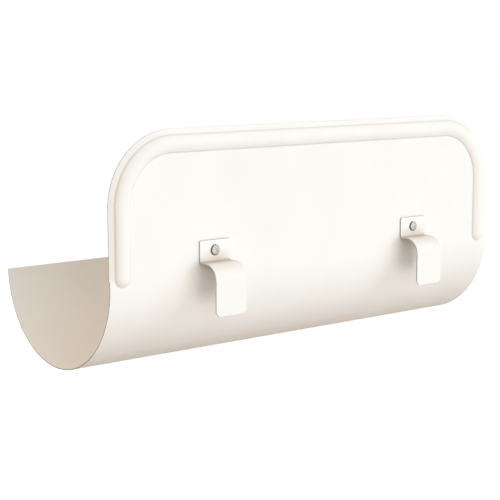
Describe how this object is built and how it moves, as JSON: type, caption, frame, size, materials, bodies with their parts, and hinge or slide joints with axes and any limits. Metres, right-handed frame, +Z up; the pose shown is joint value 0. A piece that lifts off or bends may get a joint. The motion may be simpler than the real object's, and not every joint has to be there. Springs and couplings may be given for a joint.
{
  "type": "gutter overflow guard",
  "caption": "Half-round sheet-metal trough with a tall round-cornered, bead-stiffened front panel and hook clips, laid in a gutter to stop roof water from shooting over its front edge.",
  "frame": {"origin": "on the axis of the half-round trough, at mid-length", "axes": "+X along the gutter, +Y to the house wall behind the gutter, +Z up; the front panel and its clips face -Y"},
  "size_m": [0.35, 0.1419, 0.1585],
  "materials": {
    "coated_sheet": "cream-white coil coating, satin",
    "coated_strip": "cream-white coil coating, satin",
    "rivet_aluminium": "plain, slightly dull",
    "mandrel_steel": "zinc-plated, broken end"
  },
  "bodies": {
    "root": {"guard_sheet": "coated_sheet", "left_clip": "coated_strip", "right_clip": "coated_strip", "rivets": "rivet_aluminium", "rivet_mandrels": "mandrel_steel"}
  },
  "joints": []
}
